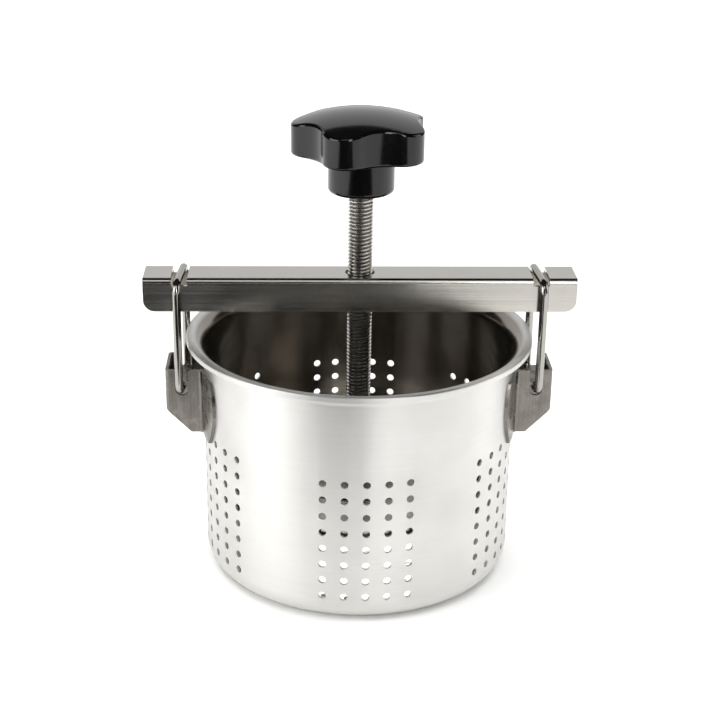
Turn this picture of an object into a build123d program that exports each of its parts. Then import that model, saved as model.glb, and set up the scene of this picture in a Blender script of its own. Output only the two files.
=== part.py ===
"""Screw-press potato ricer: a perforated steel basket, a crossbar held down by two
wire bails, and a screw that drives a press plate down inside the basket.

Frame: origin at the centre of the basket's base, +Z up, crossbar along X, millimetres.
The model stands as it is used: bails hooked in the crossbar's notches, plate part way down.
"""

import os
from math import asin, cos, radians, sin, tan

from build123d import *

os.makedirs("parts", exist_ok=True)

# ---------------------------------------------------------------- driving dimensions

# basket
basket_outer_r = 63.3
basket_height = 99.0
basket_wall = 0.9
base_corner_r = 8.5
lip_projection = 6.7
lip_flare_r = 5.6
lip_hem_height = 2.2
lip_edge_r = 0.6

# perforations in the basket wall and base
hole_d = 3.0
hole_rows = 8
hole_columns = 5
hole_row_pitch = 6.95
hole_column_pitch_deg = 7.7
hole_corner_margin = 1.5
hole_group_angles = (-88.6, -27.7, 30.5, 90.0, 149.0, 204.4)
base_ring_pitch = 9.2
base_holes_per_ring = 6

# bail brackets, one sheet bent to a hat section and welded to the wall
bracket_sheet = 1.2
bracket_depth = 20.5
bracket_projection = 15.1
bracket_below_rim = 13.5
bracket_height = 27.0
bracket_bevel_height = 10.0
bracket_bevel_width = 10.1
bracket_bend_r = 1.8
bracket_inner_bend_r = 1.0
flange_bulge_half_width = 27.0
flange_top_half_width = 24.5
flange_bottom_half_width = 21.5
slot_depth = 10.9

# wire bails
bail_wire_d = 3.3
bail_off_lip = 1.75
bail_skew_deg = 3.8
bail_bend_r = 4.0
bail_lift = 0.4

# keeper plates that trap the bails in their slots
keeper_sheet = 1.5
keeper_length = 7.0

# crossbar, an inverted channel
bar_over_rim = 11.3
bar_overhang = 14.35
bar_depth = 18.0
bar_height = 13.6
bar_sheet = 1.5
bar_bend_r = 1.9
bar_end_r = 4.6

# threaded block under the crossbar
block_length = 22.0
block_chamfer = 0.6

# screw, M10 x 1.5
screw_d = 10.0
thread_pitch = 1.5
thread_depth = 0.92
journal_d = 7.0
journal_chamfer = 0.6
journal_tip = 2.0
clip_groove_d = 6.0
screw_above_bar = 33.4

# press plate and the swivel hub on it
plate_top_z = 42.0
plate_sheet = 1.2
plate_rim_height = 7.0
plate_bend_r = 2.4
plate_bead_r = 38.0
plate_bead_width = 6.0
plate_bead_height = 1.4
hub_flange_r = 18.0
hub_flange_height = 2.0
hub_boss_r = 10.0
hub_boss_height = 10.0
hub_cavity_r = 7.8
hub_web = 4.5
hub_chamfer = 0.5
rivet_count = 3
rivet_pcd = 28.0
rivet_d = 4.0
rivet_head_d = 6.4
rivet_head_height = 1.3
washer_thickness = 1.0
washer_outer_r = 8.0
clip_thickness = 0.8
clip_outer_r = 5.6
clip_opening_deg = 60.0

# star knob
knob_r = 27.5
knob_lobes = 5
knob_lobe_r = 9.0
knob_valley_r = 21.8
knob_first_lobe_deg = 33.5
knob_hub_d = 26.2
knob_hub_height = 14.7
knob_hub_edge_r = 1.8
knob_side_height = 12.2
knob_dome_height = 5.4
knob_edge_r = 1.3
insert_wall = 2.5
insert_length = 21.0
insert_cap = 1.5
insert_chamfer = 0.6

# clearances
plate_side_gap = 1.1
bail_bar_gap = 0.2
bail_side_gap = 0.6
bail_seat_gap = 0.5
slot_side_gap = 0.37
notch_side_gap = 1.05
keeper_gap = 0.35
block_side_gap = 0.1
screw_hole_gap = 0.9
running_gap = 0.05
thread_gap = 0.06
thrust_gap = 0.1
clip_gap = 0.2
screw_end_gap = 0.8

# how far a cutting shape reaches past what it cuts, and how close two sizes count as equal
overrun = 3.0
tolerance = 0.01

# ---------------------------------------------------------------- worked-out places

basket_inner_r = basket_outer_r - basket_wall
lip_outer_r = basket_outer_r + lip_projection
lowest_hole_z = base_corner_r + hole_corner_margin + hole_d / 2
base_hole_rings = int((basket_outer_r - base_corner_r - hole_d) / base_ring_pitch)

skew_slope = tan(radians(bail_skew_deg))
bail_wire_r = bail_wire_d / 2
bail_x = lip_outer_r + bail_off_lip
bracket_reach = basket_outer_r + bracket_projection
bracket_half_depth = bracket_depth / 2
bracket_inner_half = bracket_half_depth - bracket_sheet
bracket_top_z = basket_height - bracket_below_rim
bracket_bottom_z = bracket_top_z - bracket_height
bracket_middle_z = (bracket_top_z + bracket_bottom_z) / 2
slot_width = bail_wire_d + 2 * (bracket_half_depth * skew_slope + slot_side_gap)
slot_bottom_z = bracket_top_z - slot_depth

bar_half_depth = bar_depth / 2
bar_bottom_z = basket_height + bar_over_rim
bar_top_z = bar_bottom_z + bar_height
bar_half_length = bail_x + bar_overhang
web_bottom_z = bar_top_z - bar_sheet
notch_width = bail_wire_d + 2 * (bar_half_depth * skew_slope + notch_side_gap)

bail_pivot_z = slot_bottom_z + bail_wire_r + bail_seat_gap
bail_top_z = web_bottom_z + bail_lift
bail_leg_y = max(bracket_half_depth, bar_half_depth) + bail_wire_r + bail_side_gap
notch_bottom_z = bail_top_z - bail_wire_r - bail_bar_gap

screw_r = screw_d / 2
thread_root_r = screw_r - thread_depth
journal_r = journal_d / 2
hub_top_z = plate_top_z + hub_boss_height
hub_ceiling_z = hub_top_z - hub_web
clip_top_z = hub_ceiling_z - clip_gap
clip_bottom_z = clip_top_z - clip_thickness
journal_bottom_z = clip_bottom_z - journal_tip
thrust_face_z = hub_top_z + washer_thickness + thrust_gap
plate_r = basket_inner_r - plate_side_gap

knob_bottom_z = bar_top_z + screw_above_bar
knob_head_z = knob_bottom_z + knob_hub_height
knob_shoulder_z = knob_head_z + knob_side_height
knob_top_z = knob_shoulder_z + knob_dome_height
insert_r = screw_r + insert_wall
insert_bore_length = insert_length - insert_cap
screw_top_z = knob_bottom_z + insert_bore_length - screw_end_gap


def ring_point(radius, angle_deg, z=0.0):
    """A point at a radius and angle about the Z axis."""
    return (radius * cos(radians(angle_deg)), radius * sin(radians(angle_deg)), z)


def radial_plane(radius, angle_deg, z):
    """A plane whose normal points away from the Z axis."""
    out = (cos(radians(angle_deg)), sin(radians(angle_deg)), 0)
    return Plane(origin=ring_point(radius, angle_deg, z), z_dir=out)


def cap_radius(half_width, height):
    """The radius of the sphere that a domed cap belongs to."""
    return (half_width**2 + height**2) / (2 * height)


def cap_middle(half_width, height):
    """The middle of a cap's arc: its distance from the axis and its height above the rim."""
    radius = cap_radius(half_width, height)
    half_angle = asin(half_width / radius) / 2
    return (radius * sin(half_angle), height - radius + radius * cos(half_angle))


def rings_of(piece, radius):
    """The circular edges of a piece that have one radius, lowest first."""
    circles = piece.edges().filter_by(GeomType.CIRCLE)
    return circles.filter_by(lambda edge: abs(edge.radius - radius) < tolerance).sort_by(Axis.Z)


def finish(part, name):
    """Label a finished piece and write it."""
    part.label = name
    export_step(part, f"parts/{name}.step")


# ---------------------------------------------------------------- basket

flare_start_z = basket_height - basket_wall - lip_flare_r
flare_out_r = basket_outer_r + lip_flare_r
hem_inner_r = lip_outer_r - basket_wall
corner_inner_r = base_corner_r - basket_wall
flare_inner_arc = lip_flare_r + basket_wall

with BuildPart() as basket:
    with BuildSketch(Plane.XZ) as basket_profile:
        with BuildLine():
            Line((0, 0), (basket_outer_r - base_corner_r, 0))
            RadiusArc(
                (basket_outer_r - base_corner_r, 0),
                (basket_outer_r, base_corner_r),
                -base_corner_r,
            )
            Line((basket_outer_r, base_corner_r), (basket_outer_r, flare_start_z))
            RadiusArc(
                (basket_outer_r, flare_start_z),
                (flare_out_r, basket_height - basket_wall),
                lip_flare_r,
            )
            Polyline(
                (flare_out_r, basket_height - basket_wall),
                (hem_inner_r, basket_height - basket_wall),
                (hem_inner_r, basket_height - lip_hem_height),
                (lip_outer_r, basket_height - lip_hem_height),
                (lip_outer_r, basket_height),
                (flare_out_r, basket_height),
            )
            RadiusArc(
                (flare_out_r, basket_height),
                (basket_inner_r, flare_start_z),
                -flare_inner_arc,
            )
            Line((basket_inner_r, flare_start_z), (basket_inner_r, base_corner_r))
            RadiusArc(
                (basket_inner_r, base_corner_r),
                (basket_outer_r - base_corner_r, basket_wall),
                corner_inner_r,
            )
            Polyline((basket_outer_r - base_corner_r, basket_wall), (0, basket_wall), (0, 0))
        make_face()
        lip_corner = basket_profile.vertices().group_by(Axis.Z)[-1].sort_by(Axis.X)[-1]
        fillet(lip_corner, lip_edge_r)
    revolve(axis=Axis.Z)

    # wall perforations: groups of rows and columns, all pointing outwards
    wall_holes = []
    for group_angle in hole_group_angles:
        for column in range(hole_columns):
            angle = group_angle + (column - (hole_columns - 1) / 2) * hole_column_pitch_deg
            for row in range(hole_rows):
                height = lowest_hole_z + row * hole_row_pitch
                wall_holes.append(radial_plane(basket_outer_r - basket_wall / 2, angle, height).location)
    with Locations(*wall_holes):
        Cylinder(hole_d / 2, overrun, mode=Mode.SUBTRACT)

    # base perforations: one in the middle, then rings that each have six more than the last
    with Locations((0, 0, basket_wall / 2)):
        Cylinder(hole_d / 2, overrun, mode=Mode.SUBTRACT)
    for ring in range(1, base_hole_rings + 1):
        with Locations((0, 0, basket_wall / 2)):
            with PolarLocations(ring * base_ring_pitch, ring * base_holes_per_ring):
                Cylinder(hole_d / 2, overrun, mode=Mode.SUBTRACT)
finish(basket.part, "basket")

# ---------------------------------------------------------------- bail brackets

slot_half = slot_width / 2
slot_arc_z = slot_bottom_z + slot_half

with BuildPart() as bracket_right:
    with BuildSketch(Plane.XY.offset(bracket_bottom_z)) as bracket_plan:
        # box of the two side plates and the end plate
        with Locations((bracket_reach / 2, 0)):
            Rectangle(bracket_reach, bracket_depth)
        fillet(bracket_plan.vertices().group_by(Axis.X)[-1], bracket_bend_r)
        # flanges that lie on the wall
        with BuildSketch(Plane.XY.offset(bracket_bottom_z), mode=Mode.PRIVATE) as flange_ring:
            Circle(basket_outer_r + bracket_sheet)
            Circle(basket_outer_r, mode=Mode.SUBTRACT)
            with Locations((basket_outer_r, 0)):
                Rectangle(basket_outer_r, 2 * flange_bulge_half_width, mode=Mode.INTERSECT)
        add(flange_ring.sketch)
        Circle(basket_outer_r, mode=Mode.SUBTRACT)
        root_corners = bracket_plan.vertices().filter_by(
            lambda corner: abs(abs(corner.Y) - bracket_half_depth) < tolerance and corner.X < bail_x
        )
        fillet(root_corners, bracket_bend_r)
        # hollow inside
        with Locations(((bracket_reach - bracket_sheet) / 2, 0)):
            RectangleRounded(
                bracket_reach - bracket_sheet,
                2 * bracket_inner_half,
                bracket_inner_bend_r,
                mode=Mode.SUBTRACT,
            )
    extrude(amount=bracket_height)

    # bevelled lower outer corner
    with BuildSketch(Plane.XZ) as bevel:
        with BuildLine():
            Polyline(
                (bracket_reach - bracket_bevel_width, bracket_bottom_z),
                (bracket_reach, bracket_bottom_z + bracket_bevel_height),
                (bracket_reach + overrun, bracket_bottom_z + bracket_bevel_height),
                (bracket_reach + overrun, bracket_bottom_z - overrun),
                (bracket_reach - bracket_bevel_width, bracket_bottom_z - overrun),
                close=True,
            )
        make_face()
    extrude(amount=bracket_depth, both=True, mode=Mode.SUBTRACT)

    # open-topped slots for the bail's lower bar
    with BuildSketch(Plane.XZ) as bail_slot:
        with Locations((bail_x, slot_arc_z)):
            Circle(slot_half)
        with Locations((bail_x, slot_arc_z)):
            Rectangle(slot_width, slot_depth + overrun, align=(Align.CENTER, Align.MIN))
    extrude(amount=bracket_depth, both=True, mode=Mode.SUBTRACT)

    # bowed free edges of the flanges
    with BuildSketch(Plane.YZ) as flange_outline:
        with BuildLine():
            Line((-flange_bottom_half_width, bracket_bottom_z), (flange_bottom_half_width, bracket_bottom_z))
            ThreePointArc(
                (flange_bottom_half_width, bracket_bottom_z),
                (flange_bulge_half_width, bracket_middle_z),
                (flange_top_half_width, bracket_top_z),
            )
            Line((flange_top_half_width, bracket_top_z), (-flange_top_half_width, bracket_top_z))
            ThreePointArc(
                (-flange_top_half_width, bracket_top_z),
                (-flange_bulge_half_width, bracket_middle_z),
                (-flange_bottom_half_width, bracket_bottom_z),
            )
        make_face()
    extrude(amount=bracket_reach + overrun, mode=Mode.INTERSECT)
finish(bracket_right.part, "bracket_right")

with BuildPart() as bracket_left:
    add(mirror(bracket_right.part, about=Plane.YZ))
finish(bracket_left.part, "bracket_left")

# ---------------------------------------------------------------- wire bails


def bail_plane(side):
    """The plane of a bail: its x runs from the front leg to the rear one, its y is up."""
    turn = side * bail_skew_deg
    return Plane(
        origin=(side * bail_x, 0, 0),
        x_dir=(-sin(radians(turn)), cos(radians(turn)), 0),
        z_dir=(cos(radians(turn)), sin(radians(turn)), 0),
    )


def build_bail(side):
    """A closed loop of round wire through the bracket's slots and over the crossbar."""
    with BuildPart() as bail:
        with BuildLine(bail_plane(side)) as loop:
            FilletPolyline(
                (bail_leg_y, bail_pivot_z),
                (bail_leg_y, bail_top_z),
                (-bail_leg_y, bail_top_z),
                (-bail_leg_y, bail_pivot_z),
                radius=bail_bend_r,
                close=True,
            )
        with BuildSketch(Plane(origin=loop.line @ 0, z_dir=loop.line % 0)):
            Circle(bail_wire_r)
        sweep(path=loop.line)
    return bail


for side, side_name in ((1, "right"), (-1, "left")):
    bail_part = build_bail(side)
    finish(bail_part.part, f"bail_{side_name}")

# ---------------------------------------------------------------- keeper plates

keeper_z = bail_pivot_z + bail_wire_r + keeper_gap + keeper_sheet / 2

for side, side_name in ((1, "right"), (-1, "left")):
    with BuildPart() as keeper:
        with Locations((side * bail_x, 0, keeper_z)):
            Box(keeper_length, 2 * bracket_inner_half, keeper_sheet)
    finish(keeper.part, f"bail_keeper_{side_name}")

# ---------------------------------------------------------------- crossbar

with BuildPart() as crossbar:
    with BuildSketch(Plane.YZ) as channel_profile:
        with Locations((0, bar_bottom_z)):
            Rectangle(bar_depth, bar_height, align=(Align.CENTER, Align.MIN))
        fillet(channel_profile.vertices().group_by(Axis.Y)[-1], bar_bend_r)
        with Locations((0, web_bottom_z - bar_height)):
            RectangleRounded(
                bar_depth - 2 * bar_sheet,
                2 * bar_height,
                bar_bend_r - bar_sheet,
                mode=Mode.SUBTRACT,
            )
    extrude(amount=bar_half_length, both=True)

    # rounded lower corners at both ends of the flanges
    fillet(crossbar.edges().filter_by(Axis.Y).group_by(Axis.Z)[0], bar_end_r)

    # notches that hold the tops of the bails
    for side in (1, -1):
        with Locations((side * bail_x, 0, notch_bottom_z)):
            Box(
                notch_width,
                bar_depth + overrun,
                bar_height,
                align=(Align.CENTER, Align.CENTER, Align.MIN),
                mode=Mode.SUBTRACT,
            )

    with Locations((0, 0, bar_top_z)):
        Cylinder(screw_r + screw_hole_gap, 2 * (bar_sheet + overrun), mode=Mode.SUBTRACT)
finish(crossbar.part, "crossbar")

with BuildPart() as thread_block:
    with Locations((0, 0, web_bottom_z)):
        Box(
            block_length,
            bar_depth - 2 * bar_sheet - 2 * block_side_gap,
            web_bottom_z - bar_bottom_z,
            align=(Align.CENTER, Align.CENTER, Align.MAX),
        )
    chamfer(thread_block.edges().filter_by(Axis.X), bar_bend_r - bar_sheet)
    with Locations((0, 0, web_bottom_z)):
        Hole(screw_r + thread_gap)
    chamfer(thread_block.edges().filter_by(GeomType.CIRCLE), block_chamfer)
finish(thread_block.part, "thread_block")

# ---------------------------------------------------------------- screw

thread_bottom_z = thrust_face_z + thread_pitch
thread_turns = int((screw_top_z - thread_bottom_z) / thread_pitch)
crest_half = thread_pitch / 16
last_root_z = thread_bottom_z + thread_turns * thread_pitch

with BuildPart() as screw:
    with BuildSketch(Plane.XZ) as screw_profile:
        with BuildLine():
            # stem below the thrust face: journal, clip groove and chamfered tip
            Polyline(
                (0, journal_bottom_z),
                (journal_r - journal_chamfer, journal_bottom_z),
                (journal_r, journal_bottom_z + journal_chamfer),
                (journal_r, clip_bottom_z - running_gap),
                (clip_groove_d / 2, clip_bottom_z - running_gap),
                (clip_groove_d / 2, clip_top_z + running_gap),
                (journal_r, clip_top_z + running_gap),
                (journal_r, thrust_face_z),
                (thread_root_r, thrust_face_z),
                (thread_root_r, thread_bottom_z),
            )
            # thread crests, one for each turn
            for turn in range(thread_turns):
                root_z = thread_bottom_z + turn * thread_pitch
                Polyline(
                    (thread_root_r, root_z),
                    (screw_r, root_z + thread_pitch / 2 - crest_half),
                    (screw_r, root_z + thread_pitch / 2 + crest_half),
                    (thread_root_r, root_z + thread_pitch),
                )
            Polyline(
                (thread_root_r, last_root_z),
                (0, last_root_z),
                (0, journal_bottom_z),
            )
        make_face()
    revolve(axis=Axis.Z)
finish(screw.part, "screw")

# ---------------------------------------------------------------- press plate

plate_bottom_z = plate_top_z - plate_rim_height
bead_inner_r = plate_bead_r - plate_bead_width / 2
bead_outer_r = plate_bead_r + plate_bead_width / 2
rivet_angles = [90 + index * 360 / rivet_count for index in range(rivet_count)]
rivet_places = [ring_point(rivet_pcd / 2, angle, 0) for angle in rivet_angles]

with BuildPart() as press_plate:
    with BuildSketch(Plane.XZ) as plate_profile:
        with BuildLine():
            FilletPolyline(
                (0, plate_top_z),
                (bead_inner_r, plate_top_z),
                (plate_bead_r, plate_top_z + plate_bead_height),
                (bead_outer_r, plate_top_z),
                (plate_r, plate_top_z),
                (plate_r, plate_bottom_z),
                radius=plate_bend_r,
            )
            Line((plate_r, plate_bottom_z), (plate_r - plate_sheet, plate_bottom_z))
            FilletPolyline(
                (plate_r - plate_sheet, plate_bottom_z),
                (plate_r - plate_sheet, plate_top_z - plate_sheet),
                (bead_outer_r, plate_top_z - plate_sheet),
                (plate_bead_r, plate_top_z - plate_sheet + plate_bead_height),
                (bead_inner_r, plate_top_z - plate_sheet),
                (0, plate_top_z - plate_sheet),
                radius=plate_bend_r - plate_sheet,
            )
            Line((0, plate_top_z - plate_sheet), (0, plate_top_z))
        make_face()
    revolve(axis=Axis.Z)
    with Locations(*rivet_places):
        with Locations((0, 0, plate_top_z)):
            Cylinder(rivet_d / 2 + running_gap, 2 * (plate_sheet + overrun), mode=Mode.SUBTRACT)
finish(press_plate.part, "press_plate")

with BuildPart() as plate_hub:
    with BuildSketch(Plane.XZ) as hub_profile:
        with BuildLine():
            Polyline(
                (hub_cavity_r, plate_top_z),
                (hub_flange_r, plate_top_z),
                (hub_flange_r, plate_top_z + hub_flange_height),
                (hub_boss_r, plate_top_z + hub_flange_height),
                (hub_boss_r, hub_top_z),
                (journal_r + running_gap, hub_top_z),
                (journal_r + running_gap, hub_ceiling_z),
                (hub_cavity_r, hub_ceiling_z),
                close=True,
            )
        make_face()
    revolve(axis=Axis.Z)
    with Locations(*rivet_places):
        with Locations((0, 0, plate_top_z)):
            Cylinder(rivet_d / 2 + running_gap, 2 * (hub_flange_height + overrun), mode=Mode.SUBTRACT)
    top_rims = [rings_of(plate_hub, hub_flange_r)[-1], rings_of(plate_hub, hub_boss_r)[-1]]
    chamfer(top_rims, hub_chamfer)
finish(plate_hub.part, "plate_hub")

rivet_top_z = plate_top_z + hub_flange_height
rivet_bottom_z = plate_top_z - plate_sheet
head_x, head_rise = cap_middle(rivet_head_d / 2, rivet_head_height)

with BuildPart() as plate_rivets:
    for place in rivet_places:
        with BuildSketch(Plane(origin=place, x_dir=(1, 0, 0), z_dir=(0, -1, 0))) as rivet_profile:
            with BuildLine():
                ThreePointArc(
                    (0, rivet_top_z + rivet_head_height),
                    (head_x, rivet_top_z + head_rise),
                    (rivet_head_d / 2, rivet_top_z),
                )
                Polyline(
                    (rivet_head_d / 2, rivet_top_z),
                    (rivet_d / 2, rivet_top_z),
                    (rivet_d / 2, rivet_bottom_z),
                    (rivet_head_d / 2, rivet_bottom_z),
                )
                ThreePointArc(
                    (rivet_head_d / 2, rivet_bottom_z),
                    (head_x, rivet_bottom_z - head_rise),
                    (0, rivet_bottom_z - rivet_head_height),
                )
                Line((0, rivet_bottom_z - rivet_head_height), (0, rivet_top_z + rivet_head_height))
            make_face()
        revolve(axis=Axis(place, (0, 0, 1)))
finish(plate_rivets.part, "plate_rivets")

# ---------------------------------------------------------------- washer and clip

with BuildPart() as thrust_washer:
    with BuildSketch(Plane.XY.offset(hub_top_z)):
        Circle(washer_outer_r)
        Circle(journal_r + running_gap, mode=Mode.SUBTRACT)
    extrude(amount=washer_thickness)
finish(thrust_washer.part, "thrust_washer")

with BuildPart() as retaining_clip:
    with BuildSketch(Plane.XY.offset(clip_bottom_z)) as clip_profile:
        Circle(clip_outer_r)
        Circle(clip_groove_d / 2 + running_gap, mode=Mode.SUBTRACT)
        opening = clip_outer_r * sin(radians(clip_opening_deg / 2))
        with Locations((0, -clip_outer_r)):
            Rectangle(2 * opening, 2 * clip_outer_r, mode=Mode.SUBTRACT)
    extrude(amount=clip_thickness)
finish(retaining_clip.part, "retaining_clip")

# ---------------------------------------------------------------- star knob

# arcs that join the lobes touch them smoothly and reach in to the valley radius
lobe_centre_r = knob_r - knob_lobe_r
half_step = 180 / knob_lobes
half_step_cos = cos(radians(half_step))
valley_arc_r = (
    knob_valley_r**2
    + lobe_centre_r**2
    - 2 * knob_valley_r * lobe_centre_r * half_step_cos
    - knob_lobe_r**2
) / (2 * (knob_lobe_r + lobe_centre_r * half_step_cos - knob_valley_r))
valley_centre_r = knob_valley_r + valley_arc_r
knob_dome_r = cap_radius(knob_r, knob_dome_height)


def joint_point(lobe_angle, valley_angle):
    """Where a lobe's arc meets the arc of the valley beside it."""
    lobe_x, lobe_y, _ = ring_point(lobe_centre_r, lobe_angle)
    valley_x, valley_y, _ = ring_point(valley_centre_r, valley_angle)
    share = knob_lobe_r / (knob_lobe_r + valley_arc_r)
    return (lobe_x + share * (valley_x - lobe_x), lobe_y + share * (valley_y - lobe_y))


with BuildPart() as knob:
    # lobed head
    with BuildSketch(Plane.XY.offset(knob_head_z)) as knob_outline:
        with BuildLine():
            for lobe in range(knob_lobes):
                lobe_angle = knob_first_lobe_deg + 2 * half_step * lobe
                start = joint_point(lobe_angle, lobe_angle - half_step)
                end = joint_point(lobe_angle, lobe_angle + half_step)
                following = joint_point(lobe_angle + 2 * half_step, lobe_angle + half_step)
                ThreePointArc(start, ring_point(knob_r, lobe_angle)[:2], end)
                ThreePointArc(end, ring_point(knob_valley_r, lobe_angle + half_step)[:2], following)
        make_face()
    extrude(amount=knob_side_height + knob_dome_height)

    # domed top, part of a large sphere
    with Locations((0, 0, knob_top_z - knob_dome_r)):
        Sphere(knob_dome_r, mode=Mode.INTERSECT)
    fillet(knob.edges().group_by(Axis.Z)[0], knob_edge_r)
    top_rim = knob.edges().filter_by(lambda edge: edge.center().Z > knob_shoulder_z - knob_edge_r)
    fillet(top_rim, knob_edge_r)

    # hub below the head
    with BuildSketch(Plane.XY.offset(knob_bottom_z)):
        Circle(knob_hub_d / 2)
    extrude(amount=knob_hub_height + knob_side_height / 2)
    fillet(rings_of(knob, knob_hub_d / 2)[0], knob_hub_edge_r)

    # socket for the insert
    with BuildSketch(Plane.XY.offset(knob_bottom_z)):
        Circle(insert_r)
    extrude(amount=insert_length, mode=Mode.SUBTRACT)
finish(knob.part, "knob")

with BuildPart() as knob_insert:
    with BuildSketch(Plane.XY.offset(knob_bottom_z)):
        Circle(insert_r)
    extrude(amount=insert_length)
    with BuildSketch(Plane.XY.offset(knob_bottom_z)):
        Circle(screw_r + running_gap)
    extrude(amount=insert_bore_length, mode=Mode.SUBTRACT)
    chamfer(rings_of(knob_insert, screw_r + running_gap)[0], insert_chamfer)
finish(knob_insert.part, "knob_insert")
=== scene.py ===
"""Looks of a screw-press potato ricer: its finishes, its cut thread and the studio around it.

Metres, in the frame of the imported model: origin under the middle of the basket, +Z up,
crossbar along X. Sizes that belong to the ricer are given in millimetres and scaled once.
"""

import logging
import math
from dataclasses import dataclass
from enum import Enum

import bmesh
import bpy
from bpy.types import Material, Mesh, Node, NodeSocket, NodeTree, Object
from mathutils import Matrix, Vector


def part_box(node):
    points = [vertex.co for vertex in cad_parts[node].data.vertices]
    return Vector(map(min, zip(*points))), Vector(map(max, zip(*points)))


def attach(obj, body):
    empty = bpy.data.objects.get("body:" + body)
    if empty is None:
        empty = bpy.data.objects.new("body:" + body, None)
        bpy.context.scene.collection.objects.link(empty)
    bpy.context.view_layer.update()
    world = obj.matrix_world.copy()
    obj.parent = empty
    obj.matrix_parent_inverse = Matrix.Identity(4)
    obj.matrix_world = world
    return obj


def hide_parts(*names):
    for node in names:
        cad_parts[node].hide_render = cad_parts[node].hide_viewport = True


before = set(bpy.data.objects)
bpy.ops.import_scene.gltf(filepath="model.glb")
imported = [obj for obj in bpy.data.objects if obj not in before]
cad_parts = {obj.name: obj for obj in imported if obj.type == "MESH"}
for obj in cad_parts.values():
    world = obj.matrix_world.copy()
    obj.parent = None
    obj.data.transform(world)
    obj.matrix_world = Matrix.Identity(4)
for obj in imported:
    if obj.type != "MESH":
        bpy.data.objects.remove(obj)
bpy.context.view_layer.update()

MM = 0.001
log = logging.getLogger("potato_ricer")


# ------------------------------------------------------------------ shared helpers


def linear(hex_colour: str) -> tuple[float, float, float, float]:
    """Turn an sRGB hex colour into the linear colour that the shaders work in.

    Args:
        hex_colour: Six hex digits after a hash sign, such as "#c8c6c2".

    Returns:
        Red, green, blue and an alpha of one.
    """
    digits = hex_colour.lstrip("#")
    channels = []
    for start in (0, 2, 4):
        value = int(digits[start:start + 2], 16) / 255
        channels.append(value / 12.92 if value <= 0.04045 else ((value + 0.055) / 1.055) ** 2.4)
    return (channels[0], channels[1], channels[2], 1.0)


def add_node(
    tree: NodeTree,
    kind: str,
    settings: dict[str | int, object] | None = None,
    links: dict[str | int, NodeSocket] | None = None,
) -> Node:
    """Add one node to a tree, with its settings and with what feeds it.

    Args:
        tree: The tree that gets the node.
        kind: The node's type name.
        settings: Values, by the node's own property name or by the input's name or number.
        links: Output sockets, by the name or number of the input that each one feeds.

    Returns:
        The new node.
    """
    node = tree.nodes.new(kind)
    for name, value in (settings or {}).items():
        if isinstance(name, int) or name in node.inputs:
            node.inputs[name].default_value = value
        else:
            setattr(node, name, value)
    for name, source in (links or {}).items():
        tree.links.new(source, node.inputs[name])
    return node


def dress(node_name: str, material: Material) -> None:
    """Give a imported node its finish.

    Args:
        node_name: The node's name in the model.
        material: The finish that goes on every slot of the node.
    """
    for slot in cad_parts[node_name].material_slots:
        slot.material = material
    log.info("%s dressed in %s", node_name, material.name)


# ------------------------------------------------------------------ finishes


class Lay(Enum):
    """The way that the fine lines of a finish run."""

    ROUND = "round the upright axis, as on a spun or turned piece"
    ALONG_BAR = "along the crossbar"
    UPRIGHT = "up and down, as on brushed strip"
    NONE = "in no direction, as on a tumbled piece"


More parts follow.
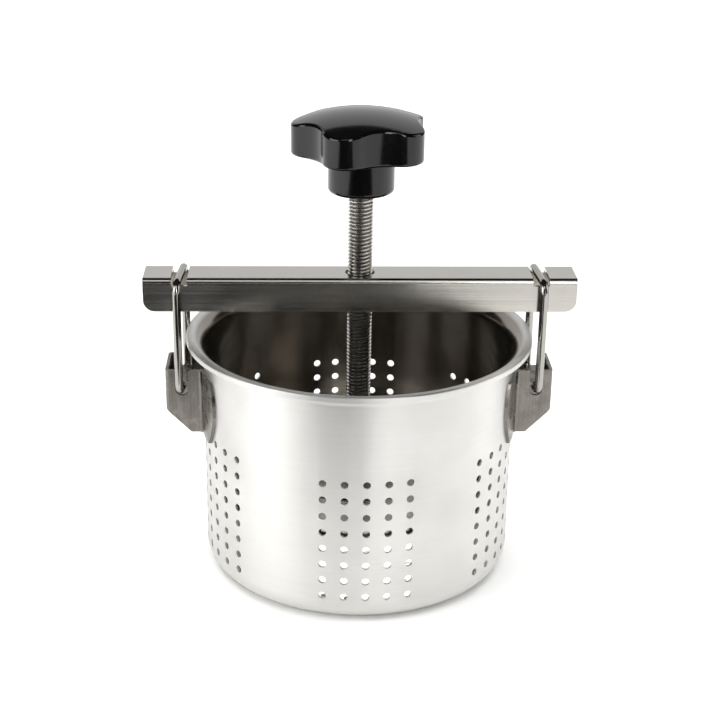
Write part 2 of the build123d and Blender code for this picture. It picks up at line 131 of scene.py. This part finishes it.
@dataclass(frozen=True)
class MetalFinish:
    """A bare metal whose look comes from how its surface was worked.

    The fine lines are drawn as stretched noise, across their lay at line_spacing and along it
    at line_length, both in millimetres. Smears are the broad soft patches that handling and
    uneven polishing leave. With an inner_shade_colour, faces that look straight at the upright axis
    get that colour, a painted shade that darkens the inside of a pot, and the inner roughness.
    """

    name: str
    colour: str
    roughness: float
    lay: Lay = Lay.NONE
    anisotropy: float = 0.0
    line_spacing: float = 0.6
    line_length: float = 30.0
    line_depth: float = 0.004
    line_contrast: float = 0.05
    smear_size: float = 18.0
    smear_contrast: float = 0.06
    tint_contrast: float = 0.05
    inner_shade_colour: str | None = None
    inner_roughness: float = 0.2
    # the cosine, against the spoke, between which a face passes from the inside's painted shade and roughness
    # to the outside finish
    inner_edge: tuple[float, float] = (-0.5, -0.2)

    def line_space(self, tree: NodeTree) -> NodeSocket:
        """Build the stretched coordinates that the line noise is read in.

        Args:
            tree: The material's node tree.

        Returns:
            A vector socket whose unit is one line spacing across the lay.
        """
        where = add_node(tree, "ShaderNodeTexCoord").outputs["Object"]
        across = 1 / (self.line_spacing * MM)
        along = 1 / (self.line_length * MM)
        if self.lay is not Lay.ROUND:
            scales = {
                Lay.ALONG_BAR: (along, across, across),
                Lay.UPRIGHT: (across, across, along),
                Lay.NONE: (across, across, across),
            }
            return add_node(tree, "ShaderNodeVectorMath", {"operation": "MULTIPLY", 1: scales[self.lay]},
                            {0: where}).outputs[0]
        flat = add_node(tree, "ShaderNodeVectorMath", {"operation": "MULTIPLY", 1: (1, 1, 0)}, {0: where})
        radius = add_node(tree, "ShaderNodeVectorMath", {"operation": "LENGTH"}, {0: flat.outputs[0]})
        rings = add_node(tree, "ShaderNodeCombineXYZ", links={"X": radius.outputs["Value"]})
        wide = add_node(tree, "ShaderNodeVectorMath", {"operation": "SCALE", "Scale": across},
                        {0: rings.outputs[0]})
        slow = add_node(tree, "ShaderNodeVectorMath", {"operation": "MULTIPLY", 1: (along, along, across)},
                        {0: where})
        return add_node(tree, "ShaderNodeVectorMath", {"operation": "ADD"},
                        {0: wide.outputs[0], 1: slow.outputs[0]}).outputs[0]

    def grain_direction(self, tree: NodeTree) -> NodeSocket | None:
        """Build the tangent that stretches highlights across the fine lines.

        Args:
            tree: The material's node tree.

        Returns:
            The tangent, or None for a finish with no lay.
        """
        axes = {Lay.ROUND: "Z", Lay.ALONG_BAR: "X", Lay.UPRIGHT: "Z"}
        if self.lay not in axes:
            return None
        settings = {"direction_type": "RADIAL", "axis": axes[self.lay]}
        return add_node(tree, "ShaderNodeTangent", settings).outputs[0]

    def off_inner_wall(self, tree: NodeTree) -> NodeSocket:
        """Build a mask of the faces that don't look straight at the upright axis.

        Args:
            tree: The material's node tree.

        Returns:
            A value that is nought on the inner wall and one elsewhere.
        """
        where = add_node(tree, "ShaderNodeTexCoord").outputs["Object"]
        flat = add_node(tree, "ShaderNodeVectorMath", {"operation": "MULTIPLY", 1: (1, 1, 0)}, {0: where})
        spoke = add_node(tree, "ShaderNodeVectorMath", {"operation": "NORMALIZE"}, {0: flat.outputs[0]})
        facing = add_node(tree, "ShaderNodeTexCoord").outputs["Normal"]
        turned = add_node(tree, "ShaderNodeVectorMath", {"operation": "DOT_PRODUCT"},
                          {0: spoke.outputs[0], 1: facing})
        inside, outside = self.inner_edge
        return add_node(tree, "ShaderNodeMapRange", {"From Min": inside, "From Max": outside},
                        {"Value": turned.outputs["Value"]}).outputs[0]

    def build(self) -> Material:
        """Make the material.

        Returns:
            A metal whose colour, roughness and bump carry the lines and smears.
        """
        material = bpy.data.materials.new(self.name)
        material.use_nodes = True
        tree = material.node_tree
        shader = tree.nodes["Principled BSDF"]

        lines = add_node(tree, "ShaderNodeTexNoise", {"Scale": 1.0, "Detail": 3.0, "Roughness": 0.6},
                         {"Vector": self.line_space(tree)})
        where = add_node(tree, "ShaderNodeTexCoord").outputs["Object"]
        smears = add_node(tree, "ShaderNodeTexNoise",
                          {"Scale": 1 / (self.smear_size * MM), "Detail": 2.0}, {"Vector": where})

        tone = add_node(tree, "ShaderNodeMapRange",
                        {"From Min": 0.3, "From Max": 0.7, "To Min": 1 - self.tint_contrast, "To Max": 1.0},
                        {"Value": lines.outputs["Fac"]})
        tinted = add_node(tree, "ShaderNodeMix",
                          {"data_type": "RGBA", "blend_type": "MULTIPLY", 0: 1.0, 6: linear(self.colour)},
                          {7: tone.outputs[0]})
        line_part = add_node(tree, "ShaderNodeMapRange",
                             {"From Min": 0.3, "From Max": 0.7, "To Min": self.roughness - self.line_contrast,
                              "To Max": self.roughness + self.line_contrast},
                             {"Value": lines.outputs["Fac"]})
        smear_part = add_node(tree, "ShaderNodeMapRange",
                              {"From Min": 0.35, "From Max": 0.65, "To Min": -self.smear_contrast,
                               "To Max": self.smear_contrast}, {"Value": smears.outputs["Fac"]})
        gloss = add_node(tree, "ShaderNodeMath", {"operation": "ADD", "use_clamp": True},
                         {0: line_part.outputs[0], 1: smear_part.outputs[0]})
        relief = add_node(tree, "ShaderNodeBump", {"Strength": 0.6, "Distance": self.line_depth * MM},
                          {"Height": lines.outputs["Fac"]})

        shader.inputs["Metallic"].default_value = 1.0
        shader.inputs["Anisotropic"].default_value = self.anisotropy
        # faces on the inner wall get the darker inner colour, a painted shade, and their own roughness
        if self.inner_shade_colour is not None:
            outside = self.off_inner_wall(tree)
            tinted = add_node(tree, "ShaderNodeMix", {"data_type": "RGBA", 6: linear(self.inner_shade_colour)},
                              {0: outside, 7: tinted.outputs[2]})
            gloss = add_node(tree, "ShaderNodeMix", {"data_type": "FLOAT", 2: self.inner_roughness},
                             {0: outside, 3: gloss.outputs[0]})
        tree.links.new(tinted.outputs[2], shader.inputs["Base Color"])
        tree.links.new(gloss.outputs[0], shader.inputs["Roughness"])
        tree.links.new(relief.outputs[0], shader.inputs["Normal"])
        tangent = self.grain_direction(tree)
        if tangent is not None:
            tree.links.new(tangent, shader.inputs["Tangent"])
            if self.lay is Lay.ROUND:
                shader.inputs["Anisotropic Rotation"].default_value = 0.25
        return material


@dataclass(frozen=True)
class MouldedFinish:
    """A glossy moulded plastic: nearly black, with the faint ripple of a polished mould."""

    name: str
    colour: str
    roughness: float
    ior: float = 1.45
    ripple_size: float = 7.0
    ripple_depth: float = 0.012
    scuff_size: float = 1.6
    scuff_contrast: float = 0.03

    def build(self) -> Material:
        """Make the material.

        Returns:
            A plastic with a soft ripple in its reflections and fine scuffs in its gloss.
        """
        material = bpy.data.materials.new(self.name)
        material.use_nodes = True
        tree = material.node_tree
        shader = tree.nodes["Principled BSDF"]
        where = add_node(tree, "ShaderNodeTexCoord").outputs["Object"]
        ripple = add_node(tree, "ShaderNodeTexNoise", {"Scale": 1 / (self.ripple_size * MM), "Detail": 1.0},
                          {"Vector": where})
        scuffs = add_node(tree, "ShaderNodeTexNoise", {"Scale": 1 / (self.scuff_size * MM), "Detail": 4.0},
                          {"Vector": where})
        gloss = add_node(tree, "ShaderNodeMapRange",
                         {"From Min": 0.4, "From Max": 0.7, "To Min": self.roughness,
                          "To Max": self.roughness + self.scuff_contrast}, {"Value": scuffs.outputs["Fac"]})
        relief = add_node(tree, "ShaderNodeBump", {"Strength": 0.5, "Distance": self.ripple_depth * MM},
                          {"Height": ripple.outputs["Fac"]})
        shader.inputs["Base Color"].default_value = linear(self.colour)
        shader.inputs["IOR"].default_value = self.ior
        tree.links.new(gloss.outputs[0], shader.inputs["Roughness"])
        tree.links.new(relief.outputs[0], shader.inputs["Normal"])
        return material


# ------------------------------------------------------------------ basket


@dataclass
class Basket:
    """The perforated basket, with the brackets and keeper plates welded to it."""

    # Stainless steel, deep drawn and then satin polished round its axis: a pale even sheen
    # with faint level lines.
    shell: MetalFinish = MetalFinish(
        "StainlessSatinBasket", "#dddcd9", 0.48, Lay.ROUND, anisotropy=0.6, line_spacing=0.7,
        line_length=45.0, line_depth=0.003, line_contrast=0.03, smear_contrast=0.04,
        # the inner colour is painted shade for the dim inside of the pot; the inner roughness is real
        inner_shade_colour="#8d877f", inner_roughness=0.21,
    )
    # Stainless strip, bent and tumbled: duller and a little mottled.
    strip: MetalFinish = MetalFinish(
        "StainlessTumbledStrip", "#807c76", 0.30, Lay.UPRIGHT, anisotropy=0.2, line_spacing=0.5,
        line_length=14.0, smear_size=5.0, smear_contrast=0.12, tint_contrast=0.30,
    )

    def build(self) -> None:
        """Dress the basket and everything that is fixed to it."""
        dress("basket", self.shell.build())
        strip = self.strip.build()
        for name in ("bracket_left", "bracket_right", "bail_keeper_left", "bail_keeper_right"):
            dress(name, strip)


# ------------------------------------------------------------------ bails


@dataclass
class Bails:
    """The two wire loops that hold the crossbar down."""

    # Stainless round wire, drawn and electropolished: it mirrors the studio in thin stripes.
    wire: MetalFinish = MetalFinish(
        "StainlessPolishedWire", "#a3a09b", 0.12, Lay.NONE, line_spacing=0.8, line_depth=0.002,
        line_contrast=0.02, smear_contrast=0.02, tint_contrast=0.03,
    )

    def build(self) -> None:
        """Dress both loops."""
        wire = self.wire.build()
        for name in ("bail_left", "bail_right"):
            dress(name, wire)


# ------------------------------------------------------------------ crossbar


@dataclass
class Crossbar:
    """The inverted channel and the threaded block under it."""

    # Stainless sheet, belt brushed along the bar and folded: long fine lines, and highlights
    # that stretch across them.
    sheet: MetalFinish = MetalFinish(
        "StainlessBrushedBar", "#bcb9b3", 0.20, Lay.ALONG_BAR, anisotropy=0.4, line_spacing=0.35,
        line_length=160.0, line_depth=0.0012, line_contrast=0.06, smear_contrast=0.02,
    )
    # Stainless bar stock, milled: plain and slightly dull.
    block: MetalFinish = MetalFinish("StainlessMilledBlock", "#a9a7a2", 0.35, Lay.UPRIGHT, anisotropy=0.2)

    def build(self) -> None:
        """Dress the channel and its block."""
        dress("crossbar", self.sheet.build())
        dress("thread_block", self.block.build())


# ------------------------------------------------------------------ press plate


@dataclass
class PressPlate:
    """The plate that presses the potato, with its swivel hub and fasteners."""

    # Stainless sheet, pressed and satin polished: ring-shaped lines round the hub.
    plate: MetalFinish = MetalFinish(
        "StainlessSatinPlate", "#bdbbb6", 0.30, Lay.ROUND, anisotropy=0.4, line_spacing=0.6, line_length=30.0,
    )
    # Stainless bar, turned on a lathe: tight tool rings.
    hub: MetalFinish = MetalFinish(
        "StainlessTurnedHub", "#b5b3ae", 0.24, Lay.ROUND, anisotropy=0.5, line_spacing=0.4, line_length=40.0,
        line_depth=0.006,
    )
    # Stainless rivet wire, headed cold: smooth with a few dull spots.
    rivet: MetalFinish = MetalFinish("StainlessHeadedRivet", "#c2c0bb", 0.22, smear_size=3.0)
    # Spring steel strip, hardened and oiled: darker than the stainless round it.
    clip: MetalFinish = MetalFinish("SpringSteelClip", "#6f6c68", 0.30, smear_size=4.0)
    # Brass sheet, punched: a warm yellow with rubbed rings.
    washer: MetalFinish = MetalFinish("BrassPunchedWasher", "#c9a456", 0.26, Lay.ROUND, anisotropy=0.3)

    def build(self) -> None:
        """Dress the plate, its hub and what holds them together."""
        dress("press_plate", self.plate.build())
        dress("plate_hub", self.hub.build())
        dress("plate_rivets", self.rivet.build())
        dress("retaining_clip", self.clip.build())
        dress("thrust_washer", self.washer.build())


# ------------------------------------------------------------------ screw and knob


@dataclass
class PressScrew:
    """The screw with its true helical thread, and the star knob on top. Sizes in millimetres."""

    major_radius: float = 5.0
    thread_pitch: float = 1.5
    thread_depth: float = 0.92
    crest_share: float = 0.125
    root_share: float = 0.16
    # how far down the flank, as a share of its depth, the painted shade of the root begins, and how
    # far outside the plain stem a face has to stand to count as thread
    shade_reach: float = 0.5
    shade_clear: float = 0.3
    journal_radius: float = 3.5
    groove_radius: float = 3.0
    groove_width: float = 0.9
    tip_chamfer: float = 0.6
    start_chamfer: float = 0.9
    stem_length: float = 8.6
    groove_above_tip: float = 1.95
    steps_per_turn: int = 48
    weld_distance: float = 0.025
    # Stainless rod, thread rolled: the rod's plain colour, on the crests, flanks and stem.
    steel: MetalFinish = MetalFinish(
        "StainlessRolledThread", "#d2d0cb", 0.22, Lay.ROUND, line_spacing=0.4, line_length=20.0,
        line_depth=0.002, line_contrast=0.03, smear_size=9.0, smear_contrast=0.03,
    )
    # The same rod down in the roots, darkened as painted shade: each turn shows as a dark line.
    root_shade_steel: MetalFinish = MetalFinish(
        "StainlessThreadRootShade", "#85817b", 0.34, Lay.ROUND, line_spacing=0.4, line_length=20.0,
        line_depth=0.002,
    )
    # Phenolic resin, compression moulded and buffed: deep black with a wet gloss.
    resin: MouldedFinish = MouldedFinish("PhenolicGlossBlack", "#050505", 0.10)
    # Brass rod, turned for the moulded-in bush.
    brass: MetalFinish = MetalFinish("BrassTurnedBush", "#c4a050", 0.25, Lay.ROUND, anisotropy=0.3)

    def thread_outline(self) -> list[tuple[float, float]]:
        """List one turn's outline.

        Returns:
            Heights in turns, each with its depth below the crest in millimetres.
        """
        flank = (1 - self.crest_share - self.root_share) / 2
        root = self.root_share
        return [
            (0.0, self.thread_depth),
            (root / 2, self.thread_depth),
            (root / 2 + flank / 2, self.thread_depth / 2),
            (root / 2 + flank, 0.0),
            (root / 2 + flank + self.crest_share / 2, 0.0),
            (root / 2 + flank + self.crest_share, 0.0),
            (1 - root / 2 - flank / 2, self.thread_depth / 2),
            (1 - root / 2, self.thread_depth),
        ]

    def stem_rings(self, tip_z: float, face_z: float) -> list[tuple[float, float]]:
        """List the rings of the plain stem, from its tip up to the thread's face.

        Args:
            tip_z: Height of the stem's tip, in millimetres.
            face_z: Height of the face where the thread begins, in millimetres.

        Returns:
            A radius and a height for each ring, in millimetres.
        """
        groove_z = tip_z + self.groove_above_tip
        return [
            (self.journal_radius - self.tip_chamfer, tip_z),
            (self.journal_radius, tip_z + self.tip_chamfer),
            (self.journal_radius, groove_z),
            (self.groove_radius, groove_z),
            (self.groove_radius, groove_z + self.groove_width),
            (self.journal_radius, groove_z + self.groove_width),
            (self.journal_radius, face_z),
        ]

    def thread_mesh(self, tip_z: float, top_z: float) -> Mesh:
        """Build the stem and the helical thread above it as one skin.

        Args:
            tip_z: Height of the stem's tip, in millimetres.
            top_z: Height of the screw's upper end, in millimetres.

        Returns:
            The finished mesh, in metres.
        """
        face_z = tip_z + self.stem_length
        outline = self.thread_outline()
        turns = math.ceil((top_z - face_z) / self.thread_pitch) + 1
        rows = [(turn + height, depth) for turn in range(-1, turns) for height, depth in outline]
        points: list[Vector] = []
        faces: list[tuple[int, ...]] = []
        steps = self.steps_per_turn

        def ring(places: list[tuple[float, float]]) -> None:
            """Add one ring of points.

            Args:
                places: A radius and a height for each point round the ring, in millimetres.
            """
            for step, (radius, height) in enumerate(places):
                angle = 2 * math.pi * step / steps
                points.append(Vector((radius * math.cos(angle), radius * math.sin(angle), height)) * MM)

        for radius, height in self.stem_rings(tip_z, face_z):
            ring([(radius, height)] * steps)
        for turn, depth in rows:
            places = []
            for step in range(steps):
                height = face_z + (turn + step / steps) * self.thread_pitch
                height = min(max(height, face_z), top_z)
                room = self.major_radius - self.start_chamfer
                limit = room + min(height - face_z, top_z - height)
                places.append((min(self.major_radius - depth, limit), height))
            ring(places)

        ring_count = len(points) // steps
        stem_count = len(self.stem_rings(tip_z, face_z))
        for level in range(ring_count - 1):
            for step in range(steps):
                after = (step + 1) % steps
                climb = len(outline) if after == 0 and level >= stem_count else 0
                if level + 1 + climb >= ring_count:
                    continue
                low, high = level * steps, (level + 1) * steps
                over = climb * steps + after
                faces.append((low + step, low + over, high + over, high + step))
        mesh = bpy.data.meshes.new("screw_thread")
        mesh.from_pydata(points, [], faces)
        self.close_mesh(mesh)
        return mesh

    def close_mesh(self, mesh: Mesh) -> None:
        """Weld the points that meet at the thread's two ends, cap both ends and turn the faces outwards.

        Args:
            mesh: The skin of the stem and thread, which is changed in place.
        """
        skin = bmesh.new()
        skin.from_mesh(mesh)
        bmesh.ops.remove_doubles(skin, verts=skin.verts, dist=self.weld_distance * MM)
        bmesh.ops.dissolve_degenerate(skin, edges=skin.edges, dist=self.weld_distance * MM)
        bmesh.ops.holes_fill(skin, edges=[edge for edge in skin.edges if edge.is_boundary], sides=0)
        bmesh.ops.recalc_face_normals(skin, faces=skin.faces)
        skin.to_mesh(mesh)
        skin.free()

    def build(self) -> None:
        """Make the threaded screw, and dress the knob and its bush."""
        low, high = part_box("screw")
        mesh = self.thread_mesh(low.z / MM, high.z / MM)
        piece = bpy.data.objects.new("screw_threaded", mesh)
        bpy.context.scene.collection.objects.link(piece)
        mesh.materials.append(self.steel.build())
        mesh.materials.append(self.root_shade_steel.build())
        # faces down in the thread roots take the second slot, the darker painted shade
        shade_radius = self.major_radius - self.thread_depth * self.shade_reach
        for face in mesh.polygons:
            radius = face.center.to_2d().length / MM
            face.material_index = int(self.journal_radius + self.shade_clear < radius < shade_radius)
        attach(piece, "screw")
        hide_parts("screw")
        log.info("%s has %d faces", piece.name, len(mesh.polygons))
        dress("knob", self.resin.build())
        dress("knob_insert", self.brass.build())


# ------------------------------------------------------------------ studio


class PanelKind(Enum):
    """What a studio panel is for."""

    SOFTBOX = "a soft light that metal mirrors"
    FLOOR_LAMP = "a soft light on the paper, hidden from metal by its grid"
    BLACK_CARD = "a black card that darkens what metal mirrors"


@dataclass(frozen=True)
class Panel:
    """A flat light or a flat black card. Places and sizes in metres, power in watts."""

    name: str
    kind: PanelKind
    place: tuple[float, float, float]
    aim: tuple[float, float, float]
    size: tuple[float, float]
    power: float = 0.0


@dataclass
class Studio:
    """The white paper, the soft lights, the black cards in front and the camera."""

    floor_side: float = 2.8
    paper: str = "#f4f4f3"
    paper_roughness: float = 0.9
    card: str = "#0a0a0a"
    card_roughness: float = 1.0
    # room light that metal mirrors, and the white that the camera sees behind the ricer
    room_level: float = 0.03
    backdrop_level: float = 1.3
    panels: tuple[Panel, ...] = (
        Panel("softbox_left", PanelKind.SOFTBOX, (-1.05, -0.55, 0.50), (0, 0, 0.06), (0.9, 0.9), 9.0),
        Panel("softbox_right", PanelKind.SOFTBOX, (1.2, 0.0, 0.50), (0, 0, 0.08), (0.8, 0.9), 4.0),
        Panel("softbox_front", PanelKind.SOFTBOX, (0.36, -1.3, 0.55), (0, 0, 0.10), (0.30, 0.9), 5.0),
        Panel("softbox_high", PanelKind.SOFTBOX, (-0.1, -0.9, 1.15), (0, 0, 0.06), (0.9, 0.5), 2.2),
        # a small lamp low in the basket, under the plate's whole travel, so that the lower holes look pale
        Panel("chamber_glow", PanelKind.SOFTBOX, (0, 0, 0.016), (0, 0, 0), (0.08, 0.08), 0.045),
        Panel("backdrop_glow", PanelKind.SOFTBOX, (0, 1.6, 0.72), (0, 0, 0.15), (3.2, 1.4), 12.0),
        Panel("floor_lamp", PanelKind.FLOOR_LAMP, (0, 0.3, 2.2), (0, 0, 0), (3.0, 3.0), 95.0),
        Panel("black_card", PanelKind.BLACK_CARD, (-0.18, -0.60, 0.002), (-0.18, -0.60, 1.0), (0.46, 0.80)),
        Panel("black_card_far", PanelKind.BLACK_CARD, (0.2, -0.66, 0.002), (0.2, -0.66, 1.0), (0.3, 0.48)),
    )
    camera_place: tuple[float, float, float] = (-0.0212, -0.5907, 0.32345)
    camera_yaw: float = 0.023
    camera_pitch: float = 0.395
    camera_roll: float = -0.009
    camera_lens: float = 77.8
    camera_sensor: float = 36.0
    camera_shift: tuple[float, float] = (0.0278, 0.0278)

    def build_floor(self) -> None:
        """Lay the white paper that the ricer stands on."""
        half = self.floor_side / 2
        mesh = bpy.data.meshes.new("paper")
        corners = [(-half, -half, 0), (half, -half, 0), (half, half, 0), (-half, half, 0)]
        mesh.from_pydata(corners, [], [(0, 1, 2, 3)])
        floor = bpy.data.objects.new("paper", mesh)
        bpy.context.scene.collection.objects.link(floor)
        material = bpy.data.materials.new("MattWhitePaper")
        material.use_nodes = True
        shader = material.node_tree.nodes["Principled BSDF"]
        shader.inputs["Base Color"].default_value = linear(self.paper)
        shader.inputs["Roughness"].default_value = self.paper_roughness
        mesh.materials.append(material)

    def build_light(self, panel: Panel) -> Object:
        """Make one soft light, facing down its own Z axis.

        Args:
            panel: The light's name, size and power.

        Returns:
            The light, not yet placed.
        """
        lamp = bpy.data.lights.new(panel.name, "AREA")
        lamp.shape = "RECTANGLE"
        lamp.size, lamp.size_y = panel.size
        lamp.energy = panel.power
        holder = bpy.data.objects.new(panel.name, lamp)
        holder.visible_glossy = panel.kind is PanelKind.SOFTBOX
        holder.visible_camera = False
        return holder

    def build_card(self, panel: Panel) -> Object:
        """Make one black card that only mirrors see.

        Args:
            panel: The card's name and size.

        Returns:
            The card, not yet placed.
        """
        half_x, half_y = panel.size[0] / 2, panel.size[1] / 2
        mesh = bpy.data.meshes.new(panel.name)
        corners = [(-half_x, -half_y, 0), (half_x, -half_y, 0), (half_x, half_y, 0), (-half_x, half_y, 0)]
        mesh.from_pydata(corners, [], [(0, 1, 2, 3)])
        material = bpy.data.materials.new("BlackFlockedCard")
        material.use_nodes = True
        shader = material.node_tree.nodes["Principled BSDF"]
        shader.inputs["Base Color"].default_value = linear(self.card)
        shader.inputs["Roughness"].default_value = self.card_roughness
        mesh.materials.append(material)
        card = bpy.data.objects.new(panel.name, mesh)
        card.visible_camera = card.visible_diffuse = card.visible_shadow = False
        return card

    def build_panels(self) -> None:
        """Hang the lights and lay the cards."""
        for panel in self.panels:
            is_card = panel.kind is PanelKind.BLACK_CARD
            holder = self.build_card(panel) if is_card else self.build_light(panel)
            holder.location = panel.place
            direction = Vector(panel.aim) - Vector(panel.place)
            holder.rotation_euler = direction.to_track_quat("-Z", "Y").to_euler()
            bpy.context.scene.collection.objects.link(holder)

    def build_world(self) -> None:
        """Make the room: white behind the ricer for the camera, a dim grey for everything else."""
        world = bpy.data.worlds.new("studio")
        bpy.context.scene.world = world
        world.use_nodes = True
        tree = world.node_tree
        tree.nodes.clear()
        path = add_node(tree, "ShaderNodeLightPath")
        level = add_node(tree, "ShaderNodeMapRange",
                         {"To Min": self.room_level, "To Max": self.backdrop_level},
                         {"Value": path.outputs["Is Camera Ray"]})
        back = add_node(tree, "ShaderNodeBackground", links={"Strength": level.outputs[0]})
        add_node(tree, "ShaderNodeOutputWorld", links={"Surface": back.outputs[0]})

    def build_camera(self) -> None:
        """Set the camera at the viewing angle."""
        data = bpy.data.cameras.new("camera")
        data.sensor_width = self.camera_sensor
        data.lens = self.camera_lens
        data.shift_x, data.shift_y = self.camera_shift
        camera = bpy.data.objects.new("camera", data)
        turn = Matrix.Rotation(-self.camera_yaw, 4, "Z")
        tilt = Matrix.Rotation(math.pi / 2 - self.camera_pitch, 4, "X")
        roll = Matrix.Rotation(-self.camera_roll, 4, "Z")
        camera.matrix_world = Matrix.Translation(self.camera_place) @ turn @ tilt @ roll
        bpy.context.scene.collection.objects.link(camera)
        bpy.context.scene.camera = camera

    def build(self) -> None:
        """Set up the whole studio."""
        self.build_floor()
        self.build_panels()
        self.build_world()
        self.build_camera()
        bpy.context.scene.view_settings.view_transform = "Standard"
        log.info("studio ready")


def main() -> None:
    """Build every sub-assembly in order."""
    logging.basicConfig(level=logging.INFO, format="%(name)s: %(message)s")
    Basket().build()
    Bails().build()
    Crossbar().build()
    PressPlate().build()
    PressScrew().build()
    Studio().build()


if __name__ == "__main__":
    main()
